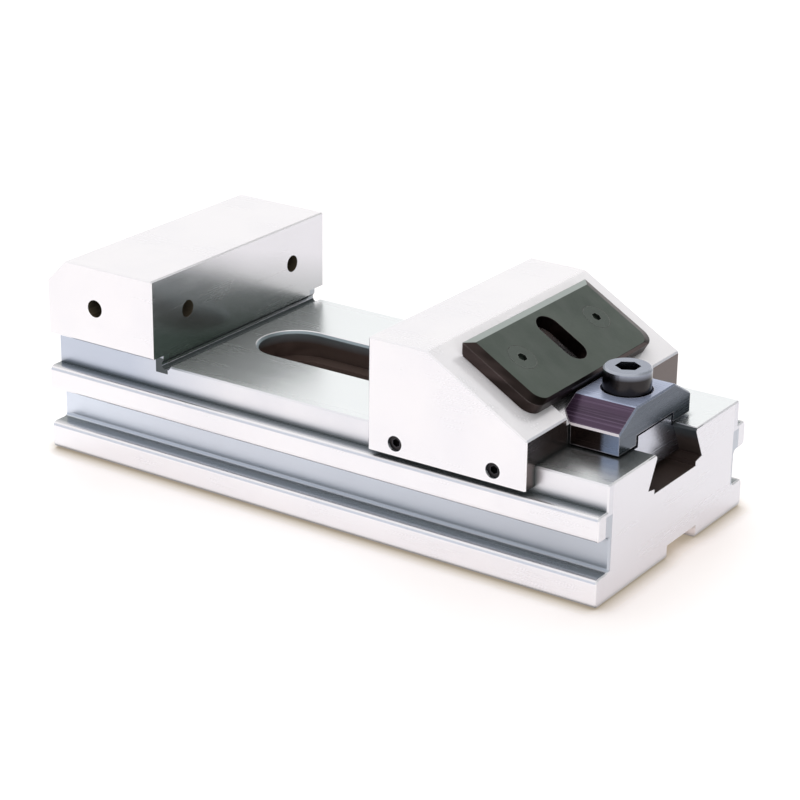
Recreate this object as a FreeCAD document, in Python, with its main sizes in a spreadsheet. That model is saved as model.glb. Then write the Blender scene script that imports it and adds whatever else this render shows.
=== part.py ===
import FreeCAD, Part
import math
import os
import re
import Sketcher
from FreeCAD import Placement, Rotation, Vector

# A toolmakers vise: a hardened rail with a fixed jaw, a moving jaw that slides on it, and a
# quick clamp whose bridge is pulled down by one cap screw and wedges the moving jaw home.
# X runs along the rail to its open end, Z is up, and the origin is under the rail's middle.

SIZES = [
    # the rail and the fixed jaw, one piece of ground steel
    ("rail_length", 180.0, "body over both ends"),
    ("jaw_width", 80.0, "both jaws and the rail's flanges, across"),
    ("jaw_height", 58.0, "top of both jaws above the underside"),
    ("rail_step", 4.5, "jaws' sides to the rail's sides, each side"),
    ("jaw_depth", 25.6, "top of both jaws down to the rail's sliding surface"),
    ("groove_depth", 6.0, "depth of the side grooves"),
    ("low_flange_top", 8.0, "top of the lower flange"),
    ("high_flange_drop", 14.4, "rail top down to the upper flange's underside"),
    ("flange_drop", 7.2, "rail top down to the upper flange"),
    ("flange_round", 1.5, "rounding of the flanges' outer edges"),
    ("fixed_jaw_length", 38.0, "fixed jaw along the rail"),
    ("overhang_rise", 2.8, "rail top up to the fixed jaw's overhang"),
    ("back_chamfer", 7.0, "bevel on the fixed jaw's top back edge"),
    ("relief_radius", 1.5, "corner relief at the foot of the fixed jaw"),
    ("edge_break", 0.4, "small bevel on ground edges"),
    ("groove_round", 1.2, "rounding in the corners of the side grooves"),
    ("relief_up", 0.2, "rail top up to the middle of its corner relief"),
    ("relief_in", 0.9, "fixed jaw face to the middle of its corner relief"),
    # the dovetail slot
    ("slot_half", 10.75, "half width of the slot's mouth"),
    ("slot_break", 0.8, "bevel on the slot's top edges"),
    ("lip_drop", 1.3, "rail top down to where the dovetail starts"),
    ("slot_wide_half", 14.65, "half width at the dovetail's foot"),
    ("wide_drop", 9.0, "rail top down to the dovetail's foot"),
    ("ledge_drop", 9.6, "rail top down to the ledge under the dovetail"),
    ("slot_floor_half", 11.3, "half width of the slot's floor"),
    ("floor_drop", 10.9, "rail top down to the slot's floor"),
    ("slot_end_in", 19.5, "fixed jaw face to the middle of the slot's round end"),
    # the keyway under the rail
    ("keyway_width", 16.0, "keyway across"),
    ("keyway_depth", 3.6, "keyway depth"),
    ("keyway_side", 5.5, "middle of the keyway from the rail's middle"),
    # tapped holes in the jaws
    ("stop_hole_radius", 2.5, "tapped holes for stops and jaw caps"),
    ("stop_hole_depth", 14.0, "depth of those holes"),
    ("stop_hole_down", 12.0, "top of the jaws down to those holes"),
    ("stop_hole_back", 20.6, "fixed jaw face back to its side hole"),
    ("cap_hole_in", 15.6, "jaws' sides to the face holes"),
    # the moving jaw
    ("opening", 72.3, "gap between the jaws as it stands"),
    ("moving_jaw_length", 48.3, "moving jaw along the rail"),
    ("moving_jaw_top", 17.8, "flat top of the moving jaw"),
    ("slope_angle", 30.0, "fall of the moving jaw's back slope"),
    ("skirt_drop", 5.6, "rail top down to the skirts' underside"),
    ("slide_gap", 0.05, "running clearance of ground slides"),
    ("crest_round", 2.0, "rounding where the top meets the slope"),
    ("skirt_hole_front", 8.5, "clamping face to the front skirt hole"),
    ("skirt_hole_back", 38.5, "clamping face to the rear skirt hole"),
    ("skirt_hole_drop", 2.2, "rail top down to the skirt holes"),
    ("skirt_hole_radius", 2.15, "tapped skirt holes"),
    ("pad_length", 0.8, "brass pad behind each skirt screw"),
    ("skirt_screw_length", 2.9, "skirt set screw"),
    ("skirt_screw_socket", 2.0, "skirt set screw hexagon across flats"),
    # the cover plate on the slope, measured down the slope from the crest
    ("plate_start", 2.4, "crest to the plate's upper end"),
    ("plate_end", 30.0, "crest to the plate's lower end"),
    ("plate_in", 9.0, "jaws' sides to the plate's sides"),
    ("plate_thick", 4.0, "plate thickness"),
    ("plate_bevel_run", 2.9, "bevel on the plate's sides, across it"),
    ("plate_top_run", 3.8, "bevel on the plate's upper edge, along it"),
    ("plate_bevel_rise", 3.2, "both bevels through the plate"),
    ("plate_corner", 4.0, "round corners at the plate's lower end"),
    ("window_middle", 16.4, "crest to the middle of the plate's window"),
    ("window_half", 4.6, "half the straight part of the window"),
    ("window_radius", 3.6, "half width of the window"),
    ("plate_screw_down", 16.0, "crest to the plate screws"),
    ("plate_screw_in", 12.0, "plate's sides to its screws"),
    ("plate_screw_radius", 2.0, "plate screw thread"),
    ("plate_screw_head", 4.15, "plate screw head"),
    ("plate_screw_length", 10.0, "plate screw below its head"),
    ("plate_screw_socket", 2.5, "plate screw hexagon across flats"),
    ("head_rim", 0.2, "straight rim of a countersunk head"),
    ("fixing_gap", 0.03, "screws in the holes that hold them"),
    # the pocket that takes the bridge's nose
    ("nose_pocket_start", 27.5, "crest to the pocket's upper wall"),
    ("nose_pocket_half", 20.5, "half width of the pocket"),
    ("nose_pocket_depth", 1.7, "depth square to the slope"),
    # the keeper under the moving jaw and its screws
    ("keeper_back", 7.6, "moving jaw's back face to the keeper"),
    ("keeper_length", 20.0, "keeper along the slot"),
    ("guide_drop", 8.6, "rail top down to the underside of keeper and slider"),
    ("guide_gap", 0.06, "running clearance in the dovetail"),
    ("keeper_screw_radius", 2.5, "keeper screw thread"),
    ("keeper_screw_head", 4.25, "keeper screw head radius"),
    ("keeper_screw_length", 14.0, "keeper screw under its head"),
    ("keeper_screw_in", 5.25, "keeper end to each screw"),
    ("keeper_head_height", 5.0, "keeper screw head height"),
    ("keeper_screw_socket", 4.0, "keeper screw hexagon across flats"),
    ("keeper_seat_rise", 7.6, "rail top up to the keeper screws' seat"),
    ("clear_hole", 0.3, "clearance round a screw's shank"),
    ("head_clear", 0.35, "clearance round a sunk head"),
    # the clamp bridge
    ("clamp_gap", 0.3, "moving jaw's back face to the bridge's legs"),
    ("clamp_length", 14.4, "bridge along the rail, without its nose"),
    ("nose_reach", 3.7, "nose beyond the legs"),
    ("nose_gap", 0.05, "nose above the pocket's floor, square to it"),
    ("bridge_rise", 11.2, "rail top up to the bridge's top"),
    ("bridge_top_half", 10.3, "half width of the bridge's flat top"),
    ("bridge_half", 19.0, "half width over the legs"),
    ("shoulder_rise", 6.2, "rail top up to where the legs' sides start"),
    ("bridge_lift", 0.6, "legs above the rail with the clamp let go"),
    ("channel_half", 10.0, "half width of the channel between the legs"),
    ("channel_rise", 3.3, "rail top up to that channel's ceiling"),
    ("clamp_screw_back", 5.6, "front of the legs to the clamp screw"),
    ("clamp_screw_radius", 4.0, "clamp screw thread"),
    ("clamp_head_radius", 6.5, "clamp screw head"),
    ("clamp_head_height", 8.0, "clamp screw head height"),
    ("clamp_head_sink", 1.8, "depth of the head's seat"),
    ("clamp_screw_length", 18.0, "clamp screw under its head"),
    ("clamp_socket", 6.0, "clamp screw hexagon across flats"),
    ("clamp_head_clear", 0.5, "clearance round the clamp screw's head"),
    ("tip_break", 0.2, "bevel at a screw's tip as a share of its radius"),
    ("head_break", 0.08, "bevel on a screw's head as a share of its radius"),
    ("thread_gap", 0.05, "turning clearance of the clamp screw's thread"),
    # the slider in the dovetail slot
    ("slider_front", 6.9, "front of the legs to the slider's front end"),
    ("neck_front", 1.7, "front of the legs to the slider neck's front end"),
    ("neck_half", 8.9, "half width of the slider's neck"),
    ("neck_rise", 2.8, "rail top up to the top of the slider's neck"),
    ("neck_relief", 0.6, "room round the neck under the moving jaw"),
    ("shoulder_down", 0.3, "slider's shoulders below the rail top"),
    # springs and pins inside
    ("spring_rest", 0.02, "coil ends off the faces they bear on"),
    ("lift_spring_radius", 4.8, "lift spring, middle of its wire"),
    ("lift_spring_wire", 0.5, "half the lift spring's wire"),
    ("lift_spring_turns", 3.0, "turns of the lift spring"),
    ("lift_pocket_radius", 5.6, "pocket for the lift spring"),
    ("lift_pocket_deep", 5.0, "depth of that pocket"),
    ("pin_radius", 1.5, "guide pins"),
    ("pin_side", 6.2, "guide pins from the middle"),
    ("pin_in", 3.4, "open end of the bridge to the guide pins"),
    ("pin_foot_drop", 2.9, "rail top down to the guide pins' lower ends"),
    ("pin_head_rise", 6.8, "rail top up to the guide pins' upper ends"),
    ("pin_hole_rise", 7.6, "rail top up to the ends of the pins' holes in the bridge"),
    ("draw_radius", 1.5, "draw screw thread"),
    ("draw_head_radius", 2.75, "draw screw head"),
    ("draw_head_height", 3.0, "draw screw head height"),
    ("draw_side", 8.7, "draw screws from the middle"),
    ("draw_drop", 5.0, "rail top down to the draw screws"),
    ("draw_pocket_deep", 12.0, "keeper's front end to the spring's seat"),
    ("draw_length", 20.0, "draw screw under its head"),
    ("draw_socket", 2.5, "draw screw hexagon across flats"),
    ("draw_tap_deep", 6.6, "tapped depth in the slider for a draw screw"),
    ("draw_spring_length", 5.0, "return spring as fitted"),
    ("draw_spring_radius", 2.2, "return spring, middle of its wire"),
    ("draw_spring_wire", 0.3, "half the return spring's wire"),
    ("draw_spring_turns", 5.0, "turns of a return spring"),
]

# Places along X and Z and half widths along Y, worked out from the sizes
PLACES = {
    "rail_top": "(jaw_height - jaw_depth)",
    "rail_half": "(jaw_width/2 - rail_step)",
    "web_half": "(jaw_width/2 - groove_depth)",
    "high_flange_low": "(rail_top - high_flange_drop)",
    "high_flange_top": "(rail_top - flange_drop)",
    "fixed_jaw_under": "(rail_top + overhang_rise)",
    "slot_lip": "(rail_top - lip_drop)",
    "slot_wide_low": "(rail_top - wide_drop)",
    "slot_ledge": "(rail_top - ledge_drop)",
    "slot_floor": "(rail_top - floor_drop)",
    "stop_hole_up": "(jaw_height - stop_hole_down)",
    "cap_hole_side": "(jaw_width/2 - cap_hole_in)",
    "skirt_low": "(rail_top - skirt_drop)",
    "skirt_hole_up": "(rail_top - skirt_hole_drop)",
    "saddle": "(rail_top + slide_gap)",
    "plate_half": "(jaw_width/2 - plate_in)",
    "plate_screw_side": "(plate_half - plate_screw_in)",
    "guide_low": "(rail_top - guide_drop)",
    "keeper_seat": "(rail_top + keeper_seat_rise)",
    "bridge_foot": "(rail_top + bridge_lift)",
    "bridge_top": "(rail_top + bridge_rise)",
    "bridge_shoulder": "(rail_top + shoulder_rise)",
    "channel_top": "(rail_top + channel_rise)",
    "neck_top": "(rail_top + neck_rise)",
    "pin_foot": "(rail_top - pin_foot_drop)",
    "pin_head": "(rail_top + pin_head_rise)",
    "pin_hole_top": "(rail_top + pin_hole_rise)",
    "draw_up": "(rail_top - draw_drop)",
    "head_seat": "(bridge_top - clamp_head_sink)",
    "fixed_face": "(fixed_jaw_length - rail_length/2)",
    "slot_start": "(fixed_face + slot_end_in)",
    "jaw_face": "(fixed_face + opening)",
    "jaw_back": "(jaw_face + moving_jaw_length)",
    "crest": "(jaw_face + moving_jaw_top)",
    "keeper_end": "(jaw_back - keeper_back)",
    "keeper_start": "(keeper_end - keeper_length)",
    "keeper_screw_first": "(keeper_start + keeper_screw_in)",
    "keeper_screw_last": "(keeper_end - keeper_screw_in)",
    "legs": "(jaw_back + clamp_gap)",
    "legs_end": "(legs + clamp_length)",
    "clamp_x": "(legs + clamp_screw_back)",
    "slider_start": "(legs - slider_front)",
    "neck_start": "(legs - neck_front)",
    "pin_x": "(legs_end - pin_in)",
}

# Two measures closer than this are the same, in mm, and an outline starts this large before
# its constraints hold it
SAME = 0.001
ROUGH = 6.0

doc = FreeCAD.newDocument("ToolmakersVise")
sheet = doc.addObject("Spreadsheet::Sheet", "Sizes")
for row, (name, number, meaning) in enumerate(SIZES, start=1):
    sheet.set(f"A{row}", meaning)
    sheet.set(f"B{row}", str(number))
    sheet.setAlias(f"B{row}", name)
doc.recompute()
size = {name: float(sheet.get(name)) for name, number, meaning in SIZES}
ALIAS = re.compile(r"\b(" + "|".join(size) + r")\b")
PLACE = re.compile(r"\b(" + "|".join(PLACES) + r")\b")


def tie(thing, place, words):
    """Bind one property of a thing to an expression of the sheet's sizes."""
    while PLACE.search(words):
        words = PLACE.sub(lambda found: PLACES[found.group()], words)
    thing.setExpression(place, ALIAS.sub(r"Sizes.\1", words))


def flank(height, gap):
    """Half width of the dovetail at a height, less a gap."""
    return (f"(slot_wide_half + (slot_half - slot_wide_half)*(({height}) - slot_wide_low)"
            f"/(slot_lip - slot_wide_low) - ({gap}))")


def slope_height(x):
    """Height of the moving jaw's back slope above a place along the rail."""
    return f"(jaw_height - (({x}) - crest)*tan(slope_angle))"


def new_body(label):
    body = doc.addObject("PartDesign::Body", label.title().replace("_", ""))
    body.Label = label
    return body


def sketch_on(body, role, along="0", slope=False):
    """A sketch on one of the body's own planes, set off along the plane's normal."""
    sketch = body.newObject("Sketcher::SketchObject", "Outline")
    plane = next(item for item in body.Origin.OriginFeatures if item.Role == role)
    sketch.AttachmentSupport = [(plane, "")]
    sketch.MapMode = "FlatFace"
    if slope:
        sketch.AttachmentOffset = Placement(Vector(), Rotation(Vector(0, 1, 0), 1))
        tie(sketch, "AttachmentOffset.Rotation.Angle", "slope_angle")
        tie(sketch, "AttachmentOffset.Base.x", "crest")
        tie(sketch, "AttachmentOffset.Base.z", "jaw_height")
    elif along != "0":
        tie(sketch, "AttachmentOffset.Base.z", along)
    return sketch


def pin_point(sketch, edge, point, x, y):
    """Hold one point of an edge at a place given by two expressions."""
    for kind, words in (("DistanceX", x), ("DistanceY", y)):
        row = sketch.addConstraint(Sketcher.Constraint(kind, -1, 1, edge, point, 1.0))
        tie(sketch, f"Constraints[{row}]", words)


def polygon(sketch, corners):
    """A closed outline with straight sides through the corners."""
    count = len(corners)
    start = sketch.GeometryCount
    turns = [2*math.pi*i/count for i in range(count)]
    ring = [Vector(math.cos(turn), math.sin(turn), 0)*ROUGH for turn in turns]
    for i in range(count):
        sketch.addGeometry(Part.LineSegment(ring[i], ring[(i + 1) % count]), False)
    for i in range(count):
        after = start + (i + 1) % count
        sketch.addConstraint(Sketcher.Constraint("Coincident", start + i, 2, after, 1))
    for i, (x, y) in enumerate(corners):
        pin_point(sketch, start + i, 1, x, y)


def mirrored(half):
    """Corners on both sides of the middle, from those of the right half, bottom first."""
    return half + [(f"-({x})", y) for x, y in reversed(half)]


def box_outline(sketch, left, right, low, high):
    polygon(sketch, [(left, low), (right, low), (right, high), (left, high)])


def circle(sketch, x, y, radius):
    edge = sketch.addGeometry(Part.Circle(Vector(1, 1, 0), Vector(0, 0, 1), 1), False)
    pin_point(sketch, edge, 3, x, y)
    row = sketch.addConstraint(Sketcher.Constraint("Radius", edge, 1.0))
    tie(sketch, f"Constraints[{row}]", radius)


def oblong(sketch, left, right, radius):
    """A slot outline along the sketch's x axis, centred on it, with round ends."""
    wide = ROUGH/3
    ends = [(left, -ROUGH, math.pi/2, 3*math.pi/2), (right, ROUGH, -math.pi/2, math.pi/2)]
    arcs = []
    for x, rough, begin, finish in ends:
        round_end = Part.Circle(Vector(rough, 0, 0), Vector(0, 0, 1), wide)
        arc = sketch.addGeometry(Part.ArcOfCircle(round_end, begin, finish), False)
        pin_point(sketch, arc, 3, x, "0")
        row = sketch.addConstraint(Sketcher.Constraint("Radius", arc, wide))
        tie(sketch, f"Constraints[{row}]", radius)
        arcs.append(arc)
    corners = [Vector(x, y, 0)
               for x, y in ((-ROUGH, -wide), (ROUGH, -wide), (ROUGH, wide), (-ROUGH, wide))]
    low = sketch.addGeometry(Part.LineSegment(corners[0], corners[1]), False)
    high = sketch.addGeometry(Part.LineSegment(corners[2], corners[3]), False)
    joins = [(arcs[0], 2, low, 1), (low, 2, arcs[1], 1), (arcs[1], 2, high, 1), (high, 2, arcs[0], 1)]
    for join in joins:
        sketch.addConstraint(Sketcher.Constraint("Tangent", *join))


def hexagon(sketch, x, y, flat):
    """A hexagon across flats, with two flats parallel to the sketch's y axis."""
    far = f"({flat})/sqrt(3)"
    near = f"({flat})/(2*sqrt(3))"
    half = f"({flat})/2"
    corners = [("0", far, 1, 1), (half, near, -1, 1), (half, near, -1, -1),
               ("0", far, 1, -1), (half, near, 1, -1), (half, near, 1, 1)]
    polygon(sketch, [(f"({x}) + ({sx})*({a})", f"({y}) + ({sy})*({b})") for a, b, sx, sy in corners])


def grow(body, kind, sketch, length, both=False, back=False):
    """A pad or a pocket of a sketch, checked to have changed the solid."""
    doc.recompute()
    before = body.Shape.Volume if body.Tip else 0.0
    feature = body.newObject(f"PartDesign::{kind}", kind)
    feature.Profile = sketch
    feature.SideType = "Symmetric" if both else "One side"
    feature.Reversed = back
    tie(feature, "Length", length)
    doc.recompute()
    change = body.Shape.Volume - before
    if near(change, 0) or (change > 0) != (kind == "Pad"):
        raise RuntimeError(f"{kind} in {body.Label} changed the volume by {change:.3f}")
    return feature


def pad(body, sketch, length, both=False, back=False):
    return grow(body, "Pad", sketch, length, both, back)


def pocket(body, sketch, depth, both=False, back=False):
    return grow(body, "Pocket", sketch, depth, both, back)


def turned(body, kind, sketch):
    """A revolution or a groove of a sketch right round its own y axis."""
    feature = body.newObject(f"PartDesign::{kind}", kind)
    feature.Profile = sketch
    feature.ReferenceAxis = (sketch, ["V_Axis"])
    feature.Angle = 360
    doc.recompute()
    return feature


def edges_where(body, test):
    return [f"Edge{i}" for i, edge in enumerate(body.Tip.Shape.Edges, start=1) if test(edge)]


def middle(edge):
    return edge.valueAt((edge.FirstParameter + edge.LastParameter)/2)


def direction(edge):
    """The axis letter that a straight edge runs along, or an empty string."""
    ends = [vertex.Point for vertex in edge.Vertexes]
    if len(ends) != 2 or edge.Curve.TypeId != "Part::GeomLine":
        return ""
    run = (ends[1] - ends[0]).normalize()
    return next((axis for axis, part in zip("XYZ", run) if near(abs(part), 1)), "")


def near(a, b):
    return abs(a - b) < SAME


def dress(body, kind, prop, words, test):
    """A fillet or a chamfer on the edges that a test picks."""
    base = body.Tip
    names = edges_where(body, test)
    if not names:
        raise RuntimeError(f"no edge to {kind} in {body.Label}")
    feature = body.newObject(f"PartDesign::{kind}", kind)
    feature.Base = (base, names)
    tie(feature, prop, words)
    doc.recompute()
    return feature


def dovetail_corners(top, gap):
    """Half outline of a block that runs in the dovetail slot, bottom first."""
    return [(flank("guide_low", gap), "guide_low"),
            (f"slot_half - {gap}", "slot_lip"),
            (f"slot_half - {gap}", top)]


def make_body():
    """Rail and fixed jaw: milled and ground from one bar."""
    body = new_body("vise_body")
    section = sketch_on(body, "YZ_Plane")
    polygon(section, mirrored([
        ("jaw_width/2", "0"), ("jaw_width/2", "low_flange_top"),
        ("web_half", "low_flange_top"), ("web_half", "high_flange_low"),
        ("jaw_width/2", "high_flange_low"), ("jaw_width/2", "high_flange_top"),
        ("rail_half", "high_flange_top"), ("rail_half", "rail_top")]))
    pad(body, section, "rail_length", both=True)
    box = body.Shape.BoundBox
    web_half = size["jaw_width"]/2 - size["groove_depth"]
    dress(body, "Fillet", "Radius", "flange_round", lambda edge: direction(edge) == "X"
          and near(abs(middle(edge).y), box.YMax))
    dress(body, "Fillet", "Radius", "groove_round", lambda edge: direction(edge) == "X"
          and near(abs(middle(edge).y), web_half))
    dress(body, "Chamfer", "Size", "edge_break", lambda edge: near(middle(edge).x, box.XMax)
          and not near(middle(edge).z, box.ZMin)
          or direction(edge) == "X" and near(middle(edge).z, box.ZMax))
    neck = sketch_on(body, "XZ_Plane")
    box_outline(neck, "-rail_length/2", "fixed_face", "rail_top - edge_break", "fixed_jaw_under")
    pad(body, neck, "2*rail_half", both=True)
    jaw = sketch_on(body, "XZ_Plane")
    polygon(jaw, [("-rail_length/2", "fixed_jaw_under"), ("fixed_face", "fixed_jaw_under"),
                  ("fixed_face", "jaw_height"), ("back_chamfer - rail_length/2", "jaw_height"),
                  ("-rail_length/2", "jaw_height - back_chamfer")])
    pad(body, jaw, "jaw_width", both=True)
    top = size["jaw_height"]
    dress(body, "Chamfer", "Size", "edge_break", lambda edge: middle(edge).z > top - size["jaw_depth"]
          and (near(abs(middle(edge).y), box.YMax) or near(middle(edge).z, top)))
    relief = sketch_on(body, "XZ_Plane")
    circle(relief, "fixed_face + relief_in", "rail_top + relief_up", "relief_radius")
    pocket(body, relief, "2*rail_half + 2*relief_radius", both=True)
    cut_dovetail_slot(body)
    keyway = sketch_on(body, "YZ_Plane")
    box_outline(keyway, "keyway_side - keyway_width/2", "keyway_side + keyway_width/2",
                "-keyway_depth", "keyway_depth")
    pocket(body, keyway, "2*rail_length", both=True)
    for offset, back in (("jaw_width/2", False), ("-jaw_width/2", True)):
        hole = sketch_on(body, "XZ_Plane", offset)
        circle(hole, "fixed_face - stop_hole_back", "stop_hole_up", "stop_hole_radius")
        pocket(body, hole, "stop_hole_depth", back=back)
    face_holes = sketch_on(body, "YZ_Plane", "fixed_face")
    for side in ("", "-"):
        circle(face_holes, f"{side}cap_hole_side", "stop_hole_up", "stop_hole_radius")
    pocket(body, face_holes, "stop_hole_depth")
    return body


def cut_dovetail_slot(body):
    """The slot is milled in from the open end, and the cutter leaves its round end."""
    above = "(rail_top + slot_break)"
    half = [("slot_floor_half", "slot_floor"), ("slot_floor_half", "slot_ledge"),
            ("slot_wide_half", "slot_wide_low"), ("slot_half", "slot_lip"),
            ("slot_half", "rail_top - slot_break"), ("slot_half + slot_break", "rail_top"),
            ("slot_half + slot_break", above)]
    run = sketch_on(body, "YZ_Plane", "rail_length/2")
    polygon(run, mirrored(half))
    pocket(body, run, "rail_length/2 - slot_start")
    end = sketch_on(body, "XZ_Plane")
    tie(end, "AttachmentOffset.Base.x", "slot_start")
    polygon(end, [("0", "slot_floor")] + half + [("0", above)])
    turned(body, "Groove", end)


def make_moving_jaw():
    """Moving jaw: a saddle over the rail with a sloping back."""
    body = new_body("moving_jaw")
    side = sketch_on(body, "XZ_Plane")
    polygon(side, [("jaw_face", "skirt_low"), ("jaw_back", "skirt_low"),
                   ("jaw_back", slope_height("jaw_back")), ("crest", "jaw_height"),
                   ("jaw_face", "jaw_height")])
    pad(body, side, "jaw_width", both=True)
    box = body.Shape.BoundBox
    dress(body, "Fillet", "Radius", "crest_round", lambda edge: direction(edge) == "Y"
          and near(middle(edge).z, box.ZMax) and not near(middle(edge).x, box.XMin))
    dress(body, "Chamfer", "Size", "edge_break", lambda edge: not near(middle(edge).z, box.ZMin)
          and any(near(place, side) for place, side in (
              (abs(middle(edge).y), box.YMax), (middle(edge).x, box.XMin), (middle(edge).x, box.XMax))))
    tunnel = sketch_on(body, "YZ_Plane", "jaw_back")
    box_outline(tunnel, "-(rail_half + slide_gap)", "rail_half + slide_gap",
                "skirt_low - edge_break", "saddle")
    pocket(body, tunnel, "moving_jaw_length + edge_break")
    cut_nose_pocket(body)
    cut_jaw_holes(body)
    return body


def cut_nose_pocket(body):
    """A shallow pocket square to the slope, and relief below it for the slider's neck."""
    nose = sketch_on(body, "XY_Plane", slope=True)
    box_outline(nose, "nose_pocket_start", "moving_jaw_length",
                "-nose_pocket_half", "nose_pocket_half")
    pocket(body, nose, "nose_pocket_depth")
    relief = sketch_on(body, "YZ_Plane", "jaw_back")
    box_outline(relief, "-(neck_half + neck_relief)", "neck_half + neck_relief",
                "rail_top", "neck_top + neck_relief")
    pocket(body, relief, "neck_front - clamp_gap + 2*neck_relief")


def cut_jaw_holes(body):
    """Keeper screw seats, tapped holes for the plate, the skirts and the face."""
    seat = sketch_on(body, "XY_Plane", "keeper_seat")
    oblong(seat, "keeper_screw_first", "keeper_screw_last", "keeper_screw_head + head_clear")
    pocket(body, seat, "jaw_height - keeper_seat", back=True)
    shanks = sketch_on(body, "XY_Plane", "keeper_seat")
    for place in ("keeper_screw_first", "keeper_screw_last"):
        circle(shanks, place, "0", "keeper_screw_radius + clear_hole")
    pocket(body, shanks, "keeper_seat - rail_top")
    plate_taps = sketch_on(body, "XY_Plane", slope=True)
    for side in ("", "-"):
        circle(plate_taps, "plate_screw_down", f"{side}plate_screw_side",
               "plate_screw_radius + fixing_gap")
    pocket(body, plate_taps, "plate_screw_length")
    for offset, back in (("jaw_width/2", False), ("-jaw_width/2", True)):
        skirt = sketch_on(body, "XZ_Plane", offset)
        for place in ("skirt_hole_front", "skirt_hole_back"):
            circle(skirt, f"jaw_face + {place}", "skirt_hole_up", "skirt_hole_radius")
        pocket(body, skirt, "jaw_width/2 - rail_half", back=back)
    face = sketch_on(body, "YZ_Plane", "jaw_face")
    for side in ("", "-"):
        circle(face, f"{side}cap_hole_side", "stop_hole_up", "stop_hole_radius")
    pocket(body, face, "stop_hole_depth", back=True)


def stand(body, x="0", y="0", z="0", axis=Vector(0, 0, 1), angle=0):
    """Place a body drawn at the origin, each distance an expression of the sizes."""
    body.Placement = Placement(Vector(), Rotation(axis, angle))
    for letter, words in zip("xyz", (x, y, z)):
        tie(body, f"Placement.Base.{letter}", words)


def on_slope(body, down, side, up="0"):
    """Place a body on the moving jaw's slope: down it from the crest, aside and off it."""
    stand(body, f"crest + ({down})*cos(slope_angle) + ({up})*sin(slope_angle)", side,
          f"jaw_height - ({down})*sin(slope_angle) + ({up})*cos(slope_angle)",
          Vector(0, 1, 0), size["slope_angle"])


def make_cover_plate():
    """Plate on the slope, bevelled on three edges, with a window over the keeper screws."""
    body = new_body("jaw_cover_plate")
    outline = sketch_on(body, "XY_Plane")
    box_outline(outline, "plate_start", "plate_end", "-plate_half", "plate_half")
    pad(body, outline, "plate_thick")
    dress(body, "Fillet", "Radius", "plate_corner", lambda edge: direction(edge) == "Z"
          and near(middle(edge).x, size["plate_end"]))
    over = "(plate_thick + plate_bevel_rise)"
    foot = "(plate_thick - plate_bevel_rise)"
    sides = sketch_on(body, "YZ_Plane")
    for side in ("", "-"):
        polygon(sides, [(f"{side}(plate_half - plate_bevel_run)", "plate_thick"),
                        (f"{side}plate_half", foot), (f"{side}(plate_half + plate_bevel_run)", foot),
                        (f"{side}(plate_half + plate_bevel_run)", over),
                        (f"{side}(plate_half - plate_bevel_run)", over)])
    pocket(body, sides, "4*plate_end", both=True)
    upper = sketch_on(body, "XZ_Plane")
    polygon(upper, [("plate_start + plate_top_run", "plate_thick"), ("plate_start", foot),
                    ("plate_start - plate_bevel_run", foot), ("plate_start - plate_bevel_run", over),
                    ("plate_start + plate_top_run", over)])
    pocket(body, upper, "4*plate_half", both=True)
    window = sketch_on(body, "XY_Plane", "plate_thick")
    oblong(window, "window_middle - window_half", "window_middle + window_half", "window_radius")
    pocket(body, window, "plate_thick")
    for side in ("", "-"):
        cone = sketch_on(body, "XZ_Plane", f"{side}plate_screw_side")
        tie(cone, "AttachmentOffset.Base.x", "plate_screw_down")
        head = "(plate_screw_head + fixing_gap)"
        shank = "(plate_screw_radius + clear_hole)"
        rim = "(plate_thick - head_rim)"
        above = "(plate_thick + head_rim)"
        polygon(cone, [("0", "-head_rim"), (shank, "-head_rim"), (shank, f"{rim} - ({head} - {shank})"),
                       (head, rim), (head, above), ("0", above)])
        turned(body, "Groove", cone)
    on_slope(body, "0", "0")
    return body


def turned_screw(label, half, flat, deep, top):
    """A screw turned from its half outline, standing on its tip, with a hexagon socket."""
    body = new_body(label)
    outline = sketch_on(body, "XZ_Plane")
    polygon(outline, half)
    turned(body, "Revolution", outline)
    socket = sketch_on(body, "XY_Plane", top)
    hexagon(socket, "0", "0", flat)
    pocket(body, socket, deep)
    return body


def cap_screw(label, radius, head, height, length, flat, deep):
    """A socket head cap screw with its head seated on the origin's plane."""
    lead = f"tip_break*{radius}"
    bevel = f"head_break*{head}"
    return turned_screw(label, [
        ("0", f"-{length}"), (f"{radius} - {lead}", f"-{length}"), (radius, f"{lead} - {length}"),
        (radius, "0"), (head, "0"), (head, f"{height} - {bevel}"), (f"{head} - {bevel}", height),
        ("0", height)], flat, deep, height)


def make_plate_screws():
    """Two countersunk screws that hold the cover plate, flush with it."""
    for name, side in (("near", "-"), ("far", "")):
        lead = "tip_break*plate_screw_radius"
        screw = turned_screw(f"cover_plate_screw_{name}", [
            ("0", "-plate_screw_length"), (f"plate_screw_radius - {lead}", "-plate_screw_length"),
            ("plate_screw_radius", f"{lead} - plate_screw_length"),
            ("plate_screw_radius", "plate_screw_radius + fixing_gap - plate_screw_head"),
            ("plate_screw_head", "fixing_gap"), ("plate_screw_head", "fixing_gap + head_rim"),
            ("0", "fixing_gap + head_rim")], "plate_screw_socket", "plate_screw_socket/2",
            "fixing_gap + head_rim")
        on_slope(screw, "plate_screw_down", f"{side}plate_screw_side",
                 "plate_thick - fixing_gap - head_rim")


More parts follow.
